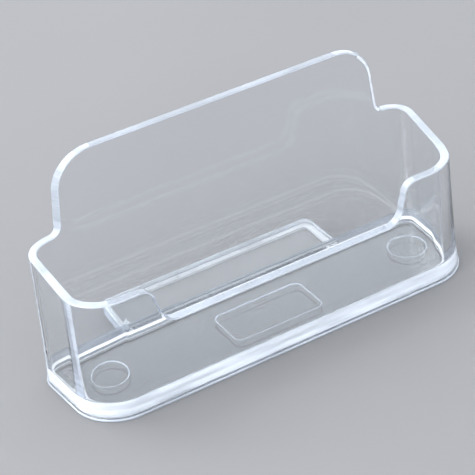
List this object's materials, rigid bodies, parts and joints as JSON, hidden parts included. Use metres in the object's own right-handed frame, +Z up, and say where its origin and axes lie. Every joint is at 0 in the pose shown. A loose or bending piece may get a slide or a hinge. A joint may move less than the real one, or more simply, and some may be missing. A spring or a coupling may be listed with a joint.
{
  "type": "business card holder",
  "caption": "Clear open-top desk tray for a stack of business cards, with a tall back panel, a low front lip between two ears and a flat stabilising foot.",
  "frame": {"origin": "on the table, at the centre of the footprint of pocket and foot together", "axes": "+X along the width, to the right seen from the front; +Y towards the back; +Z up"},
  "size_m": [0.0996, 0.0404, 0.0518],
  "materials": {
    "clear_plastic": "clear polished"
  },
  "bodies": {
    "root": {"card_holder": "clear_plastic"}
  },
  "joints": []
}
